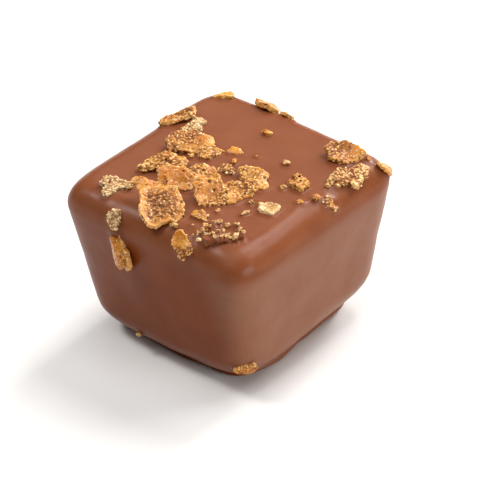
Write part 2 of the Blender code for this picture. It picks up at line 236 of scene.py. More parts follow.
# After a flake's kind and centre come its bearing, rise, turn, length and width. Bearing and rise say where
# its face looks, in degrees round from +X and up from level. The turn runs round from +X seen from above,
# and a leaf on a wall lies level when its turn is its bearing and 90 more.
FLAKES = (
    # The largest leaf and its lobe, leaning on the ones behind it
    Flake(
        "golden", (0.0, -9.6, 18.6), -47, 70, 135, 4.8, 4.4, thickness=0.9, curl=0.2, tone=0.6, toast=1.0,
        grain=(1.05, -0.1, 0.1, 1.5),
        corners=(
            (2.1, 2.1), (2.45, 1.1), (2.2, 0.1), (2.3, -1.0), (2.1, -1.6), (1.0, -1.9), (0.5, -2.3),
            (-1.4, -2.2), (-2.0, -1.6), (-2.1, -0.4), (-2.4, 0.8), (-2.3, 1.3), (-1.6, 1.7), (-0.7, 2.1),
            (0.3, 2.1), (1.0, 1.9),
        ),
    ),
    Flake(
        "golden", (-2.6, -8.7, 19.4), -47, 72, 22, 3.2, 1.7, thickness=0.9, curl=-0.1, toast=0.2,
        on_block=False, grain=(0.2, 0, 0, 0),
        corners=(
            (-1.7, 0.0), (-1.5, 0.7), (-0.8, 0.95), (0.3, 0.7), (0.9, 0.7), (1.3, -0.2), (0.3, -0.6),
            (-0.4, -1.0), (-1.1, -0.4),
        ),
    ),
    # The rest of the cluster, left to right
    Flake(
        "pale", (-6.4, -9.0, 18.2), -47, 82, 60, 3.4, 2.5, thickness=0.9, tone=0.3, grain=(0.85, 0, 0, 0.2),
        corners=(
            (-1.5, 0.8), (-0.9, 1.5), (-0.1, 1.2), (0.3, 1.2), (0.9, 0.5), (1.6, -0.2), (1.0, -0.8),
            (0.2, -0.6), (-0.6, -0.8), (-1.3, -1.2), (-1.6, -0.4), (-1.3, 0.3),
        ),
    ),
    Flake(
        "golden", (-5.2, -3.5, 18.5), -47, 75, 48, 5.4, 2.5, thickness=1.1, curl=-0.2, tone=0.3, layers=2,
        grain=(0.7, -0.2, 0.1, 0.1),
        corners=(
            (-2.7, -0.4), (-2.3, -1.0), (-1.0, -1.1), (0.4, -1.4), (1.8, -1.6), (2.3, -0.9), (2.5, -0.5),
            (2.1, 0.1), (1.5, 0.4), (0.7, 0.8), (0.2, 1.1), (-0.5, 0.95), (-1.1, 1.0), (-1.7, 0.6),
            (-2.0, -0.1),
        ),
    ),
    Flake(
        "golden", (-2.1, -5.3, 18.7), -47, 65, 30, 4.2, 3.0, thickness=0.9, tone=0.85, toast=0.5, layers=2,
        grain=(0.3, 0, 0, 0),
        corners=(
            (-2.1, 0.6), (-1.1, 1.3), (0.8, 1.5), (1.3, 0.9), (2.0, 0.5), (2.1, 0.0), (1.8, -1.1),
            (1.4, -1.4), (0.5, -1.1), (-0.6, -1.2), (-1.4, -1.6), (-1.5, -0.6),
        ),
    ),
    Flake(
        "golden", (-0.8, -2.5, 18.3), -47, 80, 48, 3.1, 2.2, thickness=0.9, tone=0.45, toast=0.4, layers=2,
        grain=(0.6, 0, 0, 0),
        corners=(
            (-1.5, 0.5), (-0.9, 1.0), (0.1, 1.1), (1.0, 0.8), (1.4, 0.0), (1.5, -1.4), (0.5, -1.4),
            (-0.5, -1.2), (-1.4, -1.2),
        ),
    ),
    Flake(
        "golden", (2.3, -5.1, 18.5), -47, 70, 138, 3.6, 3.2, thickness=0.9, tone=0.6, toast=0.7,
        grain=(0.4, -0.4, -0.3, 0),
        corners=(
            (1.6, 1.6), (1.9, 0.7), (1.8, -0.4), (1.4, -1.4), (0.6, -1.6), (-0.5, -1.6), (-1.5, -1.7),
            (-1.6, -0.5), (-1.4, 0.3), (-1.3, 1.2), (-0.3, 1.4), (0.3, 1.6), (0.7, 1.2),
        ),
    ),
    Flake(
        "toasted", (0.6, -0.7, 18.2), -47, 78, 5, 2.1, 1.2, curl=0.0, tone=0.7, toast=0.5,
        grain=(0.9, 0, 0, 0),
        corners=(
            (-1.2, 0.0), (-0.9, 0.5), (-0.2, 0.7), (0.7, 0.4), (0.9, -0.2), (-0.1, -0.5), (-0.8, -0.5),
        ),
    ),
    Flake(
        "golden", (4.5, -2.9, 18.6), -47, 70, 140, 3.3, 3.2, thickness=0.9, curl=0.2, tone=0.4,
        grain=(0.5, 0.2, -0.2, 0),
        corners=(
            (1.6, 1.6), (1.7, 1.1), (1.4, -0.1), (0.6, -1.2), (-0.1, -1.4), (-0.7, -0.8), (-0.8, -0.2),
            (-1.3, 0.8), (-1.4, 1.6), (-0.7, 1.7), (0.6, 1.6),
        ),
    ),
    Flake(
        "golden", (4.0, -0.2, 18.3), -47, 80, 140, 3.5, 2.9, thickness=0.9, tone=0.25,
        grain=(0.5, 0, 0.2, 0),
        corners=(
            (1.9, 1.4), (1.9, 0.5), (1.7, -0.5), (1.0, -0.9), (0.4, -1.4), (-0.3, -0.9), (-1.5, -1.1),
            (-1.8, -0.5), (-1.6, 0.3), (-0.7, 0.6), (0.2, 1.3), (0.8, 1.5),
        ),
    ),
    # Behind the cluster
    Flake(
        "golden", (-5.3, 0.4, 18.5), -47, 72, 38, 5.0, 2.8, thickness=1.5, curl=-0.2, tone=0.65, toast=0.5,
        layers=2, grain=(0.6, -0.6, 0.4, 0),
        corners=(
            (-2.4, 0.0), (-2.2, 0.9), (-1.4, 1.3), (-0.2, 1.2), (0.6, 1.4), (1.4, 0.8), (2.3, 0.5),
            (2.3, -0.2), (1.5, -0.5), (1.1, -1.2), (-0.1, -1.3), (-0.7, -1.2), (-1.3, -0.7), (-1.9, -0.9),
        ),
    ),
    Flake(
        "golden", (-2.5, 0.5, 18.3), -47, 75, 45, 2.8, 1.9, curl=0.0, tone=0.3, grain=(0.75, 0, 0, 0),
        corners=(
            (-1.5, 0.6), (-0.7, 1.0), (0.4, 1.0), (1.3, 0.3), (0.6, -0.3), (-0.2, -0.9), (-1.0, -0.5),
        ),
    ),
    Flake(
        "golden", (-0.7, 2.3, 18.2), -47, 80, 20, 2.1, 1.0, curl=0.0, tone=0.4, toast=0.2,
        grain=(0.3, 0, 0, 0),
        corners=(
            (-1.2, -0.1), (-0.7, 0.7), (-0.3, 0.8), (0.3, 0.3), (0.9, 0.1), (0.2, -0.4), (-0.7, -0.4),
        ),
    ),
    Flake(
        "pale", (-7.3, 3.6, 18.2), -47, 76, 75, 2.9, 1.9, tone=0.3, toast=0.1, grain=(0.75, 0, 0, 0),
        corners=(
            (-1.4, 0.6), (-0.7, 0.6), (0.0, 0.8), (0.5, 1.2), (0.9, 0.6), (1.3, 0.0), (0.5, -0.5),
            (-0.2, -1.0), (-0.8, -0.5), (-1.6, 0.0),
        ),
    ),
    # On the back edges and the back corner
    Flake("golden", (-9.9, 3.7, 18.1), 180, 80, 62, 4.0, 1.6, tone=0.6, toast=0.5, grain=(0.6, 0, 0, 0)),
    Flake(
        "golden", (-9.1, 9.8, 17.85), 135, 82, 45, 2.1, 1.2, thickness=1.1, curl=0.0, tone=0.35, toast=0.2,
        grain=(0.4, 0, 0, 0),
    ),
    Flake(
        "golden", (-4.4, 11.1, 17.85), 90, 58, 175, 2.9, 1.6, thickness=1.4, curl=0.0, tone=0.75, toast=0.2,
        grain=(0.1, 0, 0, 0),
    ),
    Flake(
        "golden", (-1.75, 11.1, 17.6), 90, 55, 5, 1.8, 0.9, curl=0.0, tone=0.7, toast=0.2,
        grain=(0.1, 0, 0, 0),
    ),
    # By the right edge and corner
    Flake(
        "golden", (8.2, 8.7, 18.4), -47, 75, 42, 4.3, 2.8, thickness=1.1, curl=0.15, tone=0.7, toast=0.8,
        grain=(0.45, -0.9, 0, 0),
        corners=(
            (-2.2, 0.6), (-1.6, 1.3), (0.0, 1.3), (1.1, 0.8), (1.9, -0.4), (0.9, -1.0), (-0.3, -1.5),
            (-1.1, -1.2), (-2.0, -0.7), (-1.8, -0.1),
        ),
    ),
    Flake(
        "toasted", (10.6, 6.3, 18.0), 0, 64, 72, 4.8, 3.0, tone=0.3, toast=0.5, layers=2,
        grain=(0.8, 0, 0, 0.2),
        corners=(
            (-2.5, 0.1), (-2.0, 0.7), (-0.9, 1.3), (0.0, 0.9), (0.6, 0.8), (1.7, 1.1), (2.4, 0.2),
            (1.9, -0.3), (1.1, -0.8), (0.5, -1.3), (-0.1, -1.8), (-0.4, -1.6), (-0.9, -1.0), (-2.0, -0.9),
            (-2.5, -0.4),
        ),
    ),
    Flake(
        "golden", (11.5, 10.9, 17.05), 45, 40, 80, 2.3, 1.6, thickness=0.9, curl=0.0, tone=0.85, toast=0.2,
        grain=(0.1, 0, 0, 0),
    ),
    Flake(
        "toasted", (11.3, 2.2, 17.1), 0, 42, 40, 1.8, 1.3, curl=0.0, tone=0.9, toast=0.9,
        grain=(0.6, 0, 0, 0),
    ),
    # Single ones near the front
    Flake(
        "golden", (7.8, 1.9, 18.2), -47, 85, 10, 2.2, 1.9, thickness=1.3, curl=0.0, tone=0.3, toast=0.2,
        grain=(0.7, 0, 0, 0.2),
        corners=(
            (-1.2, -0.2), (-1.2, 0.6), (-0.6, 1.1), (0.4, 0.8), (1.0, 0.1), (0.9, -1.0), (0.2, -1.0),
            (-0.7, -0.8),
        ),
    ),
    Flake(
        "pale", (8.1, -3.0, 18.2), -47, 80, 20, 2.2, 1.6, thickness=0.9, curl=0.2, grain=(0.1, 0, 0, 0),
        corners=(
            (-1.2, 0.3), (-0.6, 0.05), (-0.5, 0.6), (0.1, 0.8), (0.9, 0.5), (0.95, -0.1), (0.5, -0.9),
            (0.0, -0.6), (-0.7, -0.5),
        ),
    ),
    Flake(
        "golden", (3.7, -8.1, 18.1), -47, 82, 15, 1.9, 1.0, thickness=1.1, curl=0.0, tone=0.45,
        grain=(0.6, 0, 0, 0),
        corners=(
            (-0.9, -0.3), (-0.9, 0.5), (-0.3, 0.6), (0.8, 0.4), (0.8, -0.4), (-0.1, -0.5),
        ),
    ),
    # The chocolate covered lump behind the front corner
    Flake(
        "coated", (7.1, -9.3, 18.0), -47, 88, 42, 5.0, 2.2, thickness=1.6, curl=0.0,
        corners=(
            (-1.7, 0.0), (-1.2, 0.9), (-0.4, 1.6), (1.1, 1.4), (2.2, 0.8), (2.4, -0.8), (1.3, -1.2),
            (-0.3, -1.4), (-1.5, -1.0),
        ),
    ),
    # On the front left shoulder and wall
    Flake(
        "golden", (4.6, -11.7, 16.9), -88, 42, 115, 3.0, 2.2, thickness=1.2, curl=0.0, tone=0.6, toast=1.0,
        grain=(0.3, -1.5, 0, 0),
        corners=(
            (1.2, 1.2), (1.7, 0.6), (1.7, 0.1), (1.0, -0.6), (0.0, -1.1), (-0.8, -1.0), (-0.9, -0.4),
            (-1.2, 0.1), (-0.5, 0.7), (0.4, 1.0),
        ),
    ),
    Flake(
        "pale", (-4.3, -12.0, 16.6), -90, 25, 97, 1.9, 1.5, curl=0.0, tone=0.3, toast=0.1,
        grain=(0.9, 0, 0, 0),
        corners=(
            (-0.2, 0.6), (0.6, 0.6), (0.9, 0.0), (0.9, -0.7), (-0.1, -0.8), (-0.9, -0.8), (-0.9, 0.0),
        ),
    ),
    Flake(
        "golden", (-3.5, -12.2, 13.75), -110, 0, 100, 5.5, 1.8, thickness=1.3, curl=0.0, tone=0.7,
        toast=0.25, layers=2, grain=(0.3, 0, 0, 0),
        corners=(
            (2.95, 0.4), (2.4, -0.3), (1.4, -0.95), (0.1, -1.1), (-1.2, -1.2), (-2.2, -0.8), (-2.6, 0.1),
            (-1.7, 0.8), (-0.5, 0.95), (0.5, 1.15), (1.5, 0.9), (2.4, 1.0),
        ),
    ),
    # At the foot of the front corner
    Flake(
        "golden", (9.8, -9.5, 3.4), -42, -15, 55, 2.4, 1.2, curl=0.0, tone=0.75, toast=0.4,
        grain=(0.4, 0, 0, 0),
    ),
)

CRUMBS = (
    Crumb("golden", (9.9, 9.8, 17.8), 60, 0.6, 0.5), Crumb("golden", (-0.7, 6.9, 18.0), 20, 1.0, 0.6),
    Crumb("pale", (4.4, 3.8, 18.0), 0, 0.7, 0.5), Crumb("golden", (0.2, 0.9, 18.1), 120, 0.7, 0.5),
    Crumb("pale", (6.8, 0.6, 18.1), 30, 0.6, 0.6), Crumb("toasted", (9.7, -0.3, 17.9), 40, 0.7, 0.5),
    Crumb("toasted", (10.4, 1.2, 17.8), 80, 0.8, 0.7), Crumb("pale", (6.0, -3.3, 18.1), 0, 0.5, 0.5),
    Crumb("pale", (6.8, -4.9, 18.1), 65, 0.9, 0.4), Crumb("pale", (4.4, -6.3, 18.1), 0, 0.5, 0.4),
    Crumb("pale", (10.0, 3.5, 17.9), 10, 0.6, 0.5), Crumb("pale", (-5.1, -8.5, 18.1), 100, 0.6, 0.5),
    Crumb("pale", (2.6, -10.5, 17.8), 30, 0.8, 0.6), Crumb("toasted", (-3.9, -0.9, 18.1), 0, 0.6, 0.5),
    Crumb("pale", (-3.5, -10.3, 2.3), 30, 0.6, 0.5),
    # Dust
    Crumb("pale", (1.2, 3.1, 18.0), 0, 0.35, 0.3), Crumb("pale", (4.0, -9.5, 18.0), 20, 0.35, 0.3),
    Crumb("pale", (4.9, -10.5, 17.8), 70, 0.4, 0.25), Crumb("pale", (11.8, 2.7, 16.6), 0, 0.3, 0.25),
    # On the chocolate covered lump
    Crumb("pale", (6.1, -8.1, 18.7), 42, 1.1, 0.4, on_lump=True),
    Crumb("pale", (9.0, -8.9, 18.7), 100, 0.9, 0.5, on_lump=True),
    Crumb("toasted", (5.7, -9.7, 18.8), 50, 0.7, 0.35, on_lump=True),
    Crumb("pale", (7.7, -10.2, 18.6), 60, 0.6, 0.3, on_lump=True),
    Crumb("pale", (4.8, -9.0, 18.6), 0, 0.4, 0.3, on_lump=True),
    Crumb("pale", (9.4, -8.2, 18.6), 80, 0.4, 0.35, on_lump=True),
)


def lump_crumbs():
    """Fine crumbs strewn over the chocolate covered lump."""
    rng = random.Random(LUMP_SEED)
    lump = next(flake for flake in FLAKES if flake.kind == "coated")
    placing = facing(lump.centre, lump.bearing, lump.rise, lump.turn)
    reach_along, reach_across = LUMP_REACH
    strewn = []
    for _ in range(LUMP_CRUMBS):
        along = rng.uniform(-reach_along, reach_along) * lump.length
        across = rng.uniform(-reach_across, reach_across) * lump.width
        length = rng.uniform(*LUMP_CRUMB_LENGTH)
        width = length * rng.uniform(*LUMP_CRUMB_SLIMNESS)
        place = placing @ Vector((along, across, LUMP_CRUMB_RISE))
        strewn.append(Crumb("pale", tuple(place), rng.uniform(0, 180), length, width, on_lump=True))
    return tuple(strewn)


def arc(centre, radius, start, end, steps):
    """Points on a round stretch of the profile, angles in radians from level, without its first point."""
    angles = [start + (end - start) * i / steps for i in range(1, steps + 1)]
    return [(centre[0] + radius * math.cos(a), centre[1] + radius * math.sin(a)) for a in angles]


def side_profile(bearing):
    """Half-width and height up the side at that bearing, from the flat base's edge to the top's edge."""
    lean = math.atan(WALL_LEAN)
    outward = Vector((math.cos(bearing), math.sin(bearing), 0.5))
    foot = FOOT_HALF + FOOT_WAVE * noise.noise(outward * FOOT_WAVES)
    swing = math.cos(bearing - LIFTED_SIDE)
    belly = BELLY_RADIUS + BELLY_SWING * swing
    belly_centre = belly + BELLY_LIFT * (0.5 + 0.5 * swing) ** 2
    belly_half = TOP_HALF - WALL_LEAN * (HEIGHT - belly_centre) - belly
    crease_angle = -math.acos((foot - belly_half) / belly)
    crease_height = belly_centre + belly * math.sin(crease_angle)
    points = []
    for i in range(FOOT_ROWS + 1):
        share = i / FOOT_ROWS
        points.append((foot + FOOT_BULGE * math.sin(share * math.pi), crease_height * share))
    points += arc((belly_half, belly_centre), belly, crease_angle, -lean, BELLY_ROWS)
    shoulder_half = TOP_HALF - SHOULDER_RADIUS * (1 + WALL_LEAN)
    shoulder_centre = (shoulder_half, HEIGHT - SHOULDER_RADIUS)
    wall_start = points[-1]
    wall_end = arc(shoulder_centre, SHOULDER_RADIUS, 0.0, -lean, 1)[0]
    for i in range(1, WALL_ROWS + 1):
        share = i / WALL_ROWS
        points.append(tuple(a + (b - a) * share for a, b in zip(wall_start, wall_end)))
    return points + arc(shoulder_centre, SHOULDER_RADIUS, -lean, math.pi / 2, SHOULDER_ROWS)


def on_section(across, along, half, height):
    """A place on the rounded square of that half-width, from a place on the unit square's rim."""
    power = BASE_CORNER_POWER + (TOP_CORNER_POWER - BASE_CORNER_POWER) * math.sqrt(height / HEIGHT)
    spread = (abs(across) ** power + abs(along) ** power) ** (-1 / power)
    return Vector((across * spread * half, along * spread * half, height))


def evened(share):
    """Moves the divisions of a side towards its corners, where the shape turns."""
    return 0.5 * share + 0.5 * math.sin(share * math.pi / 2)


def drift(point):
    """A slow vector of noise, the same at the same place."""
    return Vector(noise.noise(point + Vector((20.0 * k, 0, 0))) for k in (1, 2, 3))


def settled(point):
    """The point with the foot's shift and the slow unevenness added; the flat base keeps its level."""
    rise = min(1.0, point.z / BELLY_RADIUS)
    push = drift(point / SWAY_LENGTH) * SWAY
    push.z *= rise
    return point + FOOT_SHIFT * (1 - rise) ** 2 + push


def block_mesh(name, columns):
    """The coated block: a divided cube whose rings are carried onto the side profile."""
    rows = FOOT_ROWS + BELLY_ROWS + WALL_ROWS + SHOULDER_ROWS
    bm = bmesh.new()
    bmesh.ops.create_cube(bm, size=2.0)
    upright = [e for e in bm.edges if abs(e.verts[0].co.z - e.verts[1].co.z) > 1]
    bmesh.ops.subdivide_edges(bm, edges=upright, cuts=rows - 1, use_grid_fill=True)
    level = [e for e in bm.edges if abs(e.verts[0].co.z - e.verts[1].co.z) < 0.5 / rows]
    bmesh.ops.subdivide_edges(bm, edges=level, cuts=columns - 1, use_grid_fill=True)
    profiles = {}
    for vert in bm.verts:
        x, y, z = vert.co
        reach = max(abs(x), abs(y))
        if reach < 1e-6:
            vert.co = Vector((0.0, 0.0, HEIGHT + TOP_CROWN if z > 0 else 0.0))
            continue
        across, along = (math.copysign(evened(abs(c) / reach), c) for c in (x, y))
        bearing = round(math.atan2(along, across), 5)
        if bearing not in profiles:
            profiles[bearing] = side_profile(bearing)
        half, height = profiles[bearing][round((z + 1) / 2 * rows)]
        if reach < 1 - 1e-6:
            half *= reach
            height += TOP_CROWN * (1 - reach * reach) if z > 0 else 0.0
        vert.co = settled(on_section(across, along, half, height))
    bmesh.ops.recalc_face_normals(bm, faces=bm.faces)
    mesh = bpy.data.meshes.new(name)
    bm.to_mesh(mesh)
    bm.free()
    mesh.shade_smooth()
    return mesh


def tree_of(mesh):
    """A search tree of a mesh's faces."""
    return BVHTree.FromPolygons([v.co for v in mesh.vertices], [p.vertices for p in mesh.polygons])


def add_relief(mesh, toppings):
    """Ripples all over the coating, and the rise where it wets a flake."""
    normals = [v.normal.copy() for v in mesh.vertices]
    for vert, normal in zip(mesh.vertices, normals):
        place = vert.co.copy()
        push = RIPPLE * noise.noise(place / RIPPLE_LENGTH)
        push += FINE_RIPPLE * noise.noise(place / FINE_RIPPLE_LENGTH)
        found = toppings.find_nearest(place, 3 * MENISCUS_REACH)
        if found[0] is not None:
            push += MENISCUS * math.exp(-((found[3] / MENISCUS_REACH) ** 2))
        vert.co = place + normal * push * min(1.0, place.z / RELIEF_RISE)


def facing(centre, bearing, rise, turn):
    """The frame of a leaf at that centre, its Z the way its face looks and its X along its length."""
    towards, up, along = (math.radians(a) for a in (bearing, 90 - rise, turn - bearing))
    looks = Matrix.Rotation(towards, 4, "Z") @ Matrix.Rotation(up, 4, "Y") @ Matrix.Rotation(along, 4, "Z")
    return Matrix.Translation(Vector(centre)) @ looks


def rim_reach(flake, bearings):
    """How far the rim lies from the middle of the leaf at those bearings, before it is ragged."""
    if not flake.corners:
        along = np.abs(np.cos(bearings)) * 2 / flake.length
        across = np.abs(np.sin(bearings)) * 2 / flake.width
        return (along**OVAL_POWER + across**OVAL_POWER) ** (-1 / OVAL_POWER)
    rays = np.stack([np.cos(bearings), np.sin(bearings)], 1)
    reach = np.zeros(len(bearings))
    corners = np.array(flake.corners)
    for start, end in zip(corners, np.roll(corners, -1, 0)):
        side = end - start
        facing_side = rays[:, 0] * side[1] - rays[:, 1] * side[0]
        facing_side[np.abs(facing_side) < 1e-9] = 1e-9
        distance = (start[0] * side[1] - start[1] * side[0]) / facing_side
        share = (start[0] * rays[:, 1] - start[1] * rays[:, 0]) / facing_side
        hit = (share >= -1e-6) & (share <= 1 + 1e-6) & (distance > 0)
        reach = np.where(hit, np.maximum(reach, distance), reach)
    return reach


def rag(place, phase):
    """How far the rim is eaten away there, in mm: notches and fine teeth."""
    notches = noise.noise(place / RIM_NOTCH + phase)
    teeth = noise.noise(place / RIM_TOOTH + phase)
    return RIM_RAG * (NOTCH_SHARE * notches + TOOTH_SHARE * teeth - RIM_BITE)


def leaf(bm, flake, scale, lift, thickness, phase):
    """Adds one layer of a wafer leaf to a mesh: a divided sheet on a ragged outline, thickened."""
    layer = bmesh.new()
    steps = max(8, round((flake.length + flake.width) * scale / 2 / LEAF_STEP))
    bmesh.ops.create_grid(layer, x_segments=steps, y_segments=steps, size=1.0)
    bearings = np.array([math.atan2(v.co.y * flake.width, v.co.x * flake.length) for v in layer.verts])
    reaches = rim_reach(flake, bearings) * scale
    for vert, bearing, reach in zip(layer.verts, bearings, reaches):
        share = max(abs(vert.co.x), abs(vert.co.y))
        direction = Vector((math.cos(bearing), math.sin(bearing), 0))
        place = direction * share * (reach + share * rag(direction * reach, phase))
        wave = LEAF_WAVE * noise.noise(place / LEAF_WAVE_LENGTH + phase)
        place.z = wave + lift + flake.curl * share * share
        vert.co = place
    bmesh.ops.recalc_face_normals(layer, faces=layer.faces)
    bmesh.ops.solidify(layer, geom=layer.faces[:], thickness=thickness)
    bmesh.ops.recalc_face_normals(layer, faces=layer.faces)
    piece = bpy.data.meshes.new("layer")
    layer.to_mesh(piece)
    layer.free()
    bm.from_mesh(piece)
    bpy.data.meshes.remove(piece)


def flake_base(flake, block, seed):
    """A flake before its grain, laid in its place: its mesh and the frame that it lies in."""
    rng = random.Random(seed)
    phase = Vector((rng.uniform(0, PHASE_SPAN), rng.uniform(0, PHASE_SPAN), 0))
    thickness = LEAF_THICKNESS * flake.thickness
    bm = bmesh.new()
    leaf(bm, flake, 1.0, 0.0, thickness, phase)
    if flake.layers > 1:
        shifts = [rng.uniform(-UPPER_SHIFT, UPPER_SHIFT) * size for size in (flake.length, flake.width)]
        shift = Vector((*shifts, 0))
        before = len(bm.verts)
        leaf(bm, flake, UPPER_SCALE, UPPER_LIFT, thickness, phase + UPPER_PHASE)
        bm.verts.ensure_lookup_table()
        bmesh.ops.translate(bm, vec=shift, verts=bm.verts[before:])
    middle = sum((v.co for v in bm.verts), Vector()) / len(bm.verts)
    bmesh.ops.translate(bm, vec=Vector((0, 0, -middle.z)), verts=bm.verts)
    placing = facing(flake.centre, flake.bearing, flake.rise, flake.turn)
    bmesh.ops.transform(bm, matrix=placing, verts=bm.verts)
    if flake.on_block:
        placing = Matrix.Translation(grip(bm, block, LEAF_SUNK)) @ placing
    mesh = bpy.data.meshes.new("flake")
    bm.to_mesh(mesh)
    bm.free()
    return mesh, placing


def crumb_base(crumb, ground, seed):
    """A crumb before its grain, sunk a little in what it lies on."""
    rng = random.Random(seed)
    bm = bmesh.new()
    bmesh.ops.create_icosphere(bm, subdivisions=3, radius=0.5)
    phase = Vector((rng.uniform(0, PHASE_SPAN), rng.uniform(0, PHASE_SPAN), 0))
    for vert in bm.verts:
        vert.co *= 1 + CRUMB_LUMP * noise.noise(vert.co * CRUMB_LUMPS + phase)
        x, y, z = vert.co
        vert.co = Vector((x * crumb.length, y * crumb.width, z * crumb.width * CRUMB_FLATNESS))
    placing = Matrix.Translation(Vector(crumb.centre)) @ Matrix.Rotation(math.radians(crumb.turn), 4, "Z")
    bmesh.ops.transform(bm, matrix=placing, verts=bm.verts)
    grip(bm, ground, CRUMB_SUNK, outwards=True)
    mesh = bpy.data.meshes.new("crumb")
    bm.to_mesh(mesh)
    bm.free()
    return mesh


def grip(bm, block, depth, outwards=False):
    """Moves a topping straight in until its nearest corner is sunk that deep, and gives the way it went.

    With outwards it also moves one out that lies too deep.
    """
    gaps = []
    for vert in bm.verts:
        place, normal, _, _ = block.find_nearest(vert.co)
        gaps.append(((vert.co - place).dot(normal), normal))
    gap_shade, normal = min(gaps, key=lambda pair: pair[0])
    way = -normal * (gap_shade + depth if outwards else max(0.0, gap_shade + depth))
    bmesh.ops.translate(bm, vec=way, verts=bm.verts)
    return way


class Nodes:
    """Adds nodes to a tree and wires them, a value or a socket at a time."""

    def __init__(self, tree):
        self.tree = tree

    def add(self, kind, **inputs):
        node = self.tree.nodes.new(kind)
        for label, value in inputs.items():
            self.put(value, node.inputs[label.replace("_", " ")])
        return node

    def put(self, value, socket):
        if isinstance(value, bpy.types.NodeSocket):
            self.tree.links.new(value, socket)
        else:
            socket.default_value = value

    def math(self, operation, *values):
        node = self.tree.nodes.new("ShaderNodeMath")
        node.operation = operation
        for value, socket in zip(values, node.inputs):
            self.put(value, socket)
        return node.outputs[0]

    def fade(self, value, low, high, to_low=0.0, to_high=1.0):
        node = self.tree.nodes.new("ShaderNodeMapRange")
        node.interpolation_type = "SMOOTHSTEP"
        for label, number in (
            ("Value", value), ("From Min", low), ("From Max", high), ("To Min", to_low), ("To Max", to_high)
        ):
            self.put(number, node.inputs[label])
        return node.outputs["Result"]

    def noise(self, place, scale, detail=2.0, roughness=0.5):
        node = self.add("ShaderNodeTexNoise", Vector=place, Scale=scale, Detail=detail, Roughness=roughness)
        return node.outputs[0]

    def cells(self, place, scale):
        return self.add("ShaderNodeTexVoronoi", Vector=place, Scale=scale).outputs["Distance"]

    def mix(self, factor, first, second):
        node = self.tree.nodes.new("ShaderNodeMix")
        node.data_type = "RGBA"
        for label, value in (("Factor_Float", factor), ("A_Color", first), ("B_Color", second)):
            self.put(value, next(s for s in node.inputs if s.identifier == label))
        return next(s for s in node.outputs if s.identifier == "Result_Color")

    def named(self, label):
        node = self.tree.nodes.new("GeometryNodeInputNamedAttribute")
        node.data_type = "FLOAT"
        node.inputs["Name"].default_value = label
        return node.outputs["Attribute"]


def grain_tree():
    """Geometry nodes that raise grains, sink pits and creases in a wafer's skin, and note them."""
    tree = bpy.data.node_groups.new("wafer grain", "GeometryNodeTree")
    face = tree.interface
    face.new_socket("Geometry", in_out="INPUT", socket_type="NodeSocketGeometry")
    for label, value in (
        ("Grain Size", 0.25),
        ("Grain Height", 0.1),
        ("Roughness Height", 0.15),
        ("Pit Spacing", 1.2),
        ("Pit Depth", 0.16),
        ("Crease Depth", 0.07),
    ):
        socket = face.new_socket(label, in_out="INPUT", socket_type="NodeSocketFloat")
        socket.default_value = value
    face.new_socket("Material", in_out="INPUT", socket_type="NodeSocketMaterial")
    face.new_socket("Geometry", in_out="OUTPUT", socket_type="NodeSocketGeometry")
    n = Nodes(tree)
    start = n.add("NodeGroupInput")
    place = n.add("GeometryNodeInputPosition").outputs[0]
    patchy = n.math("MULTIPLY_ADD", n.noise(place, 0.9, 1.0), 1.2, -0.6)
    zone = n.fade(n.math("ADD", n.named("coarse"), patchy), 0.36, 0.64)
    bent = tree.nodes.new("ShaderNodeVectorMath")
    bent.operation = "MULTIPLY_ADD"
    wander = n.add("ShaderNodeTexNoise", Vector=place, Scale=3.5, Detail=1.0)
    n.put(wander.outputs["Color"], bent.inputs[0])
    bent.inputs[1].default_value = (0.35, 0.35, 0.35)
    n.put(place, bent.inputs[2])
    grain_cells = n.cells(bent.outputs[0], n.math("DIVIDE", 1.0, start.outputs["Grain Size"]))
    grain = n.fade(grain_cells, 0.1, 0.75, 1.0, 0.0)
    rough = n.math("SUBTRACT", n.noise(place, 3.0, 3.0, 0.6), 0.5)
    pit_cells = n.cells(place, n.math("DIVIDE", 1.0, start.outputs["Pit Spacing"]))
    pits = n.fade(pit_cells, 0.1, 0.18, 1.0, 0.0)
    ridge = n.math("ABSOLUTE", n.math("SUBTRACT", n.noise(place, 1.1, 2.0, 0.55), 0.5))
    creased = n.fade(n.noise(place, 0.7, 0.0), 0.46, 0.6)
    crease = n.math("MULTIPLY", n.fade(ridge, 0.0, 0.03, 1.0, 0.0), creased)
    raised = n.math("MULTIPLY", n.math("MULTIPLY", grain, zone), start.outputs["Grain Height"])
    roughened = n.math("MULTIPLY", rough, n.math("MULTIPLY_ADD", zone, 1.2, 0.8))
    raised = n.math("MULTIPLY_ADD", roughened, start.outputs["Roughness Height"], raised)
    raised = n.math("SUBTRACT", raised, n.math("MULTIPLY", pits, start.outputs["Pit Depth"]))
    raised = n.math("SUBTRACT", raised, n.math("MULTIPLY", crease, start.outputs["Crease Depth"]))
    push = tree.nodes.new("ShaderNodeVectorMath")
    push.operation = "SCALE"
    n.put(n.add("GeometryNodeInputNormal").outputs[0], push.inputs[0])
    n.put(raised, push.inputs["Scale"])
    geometry = start.outputs["Geometry"]
    sunk = n.math("MAXIMUM", pits, crease)
    rough = n.math("ADD", rough, 0.5)
    for label, value in (("grain", grain), ("zone", zone), ("rough", rough), ("sunk", sunk)):
        store = tree.nodes.new("GeometryNodeStoreNamedAttribute")
        store.data_type = "FLOAT"
        store.domain = "POINT"
        n.put(label, store.inputs["Name"])
        n.put(geometry, store.inputs["Geometry"])
        n.put(value, store.inputs["Value"])
        geometry = store.outputs[0]
    move = n.add("GeometryNodeSetPosition", Geometry=geometry, Offset=push.outputs[0])
    real = n.add("GeometryNodeRealizeInstances", Geometry=move.outputs[0])
    paint = n.add("GeometryNodeSetMaterial", Geometry=real.outputs[0], Material=start.outputs["Material"])
    n.put(paint.outputs[0], n.add("NodeGroupOutput").inputs[0])
    return tree


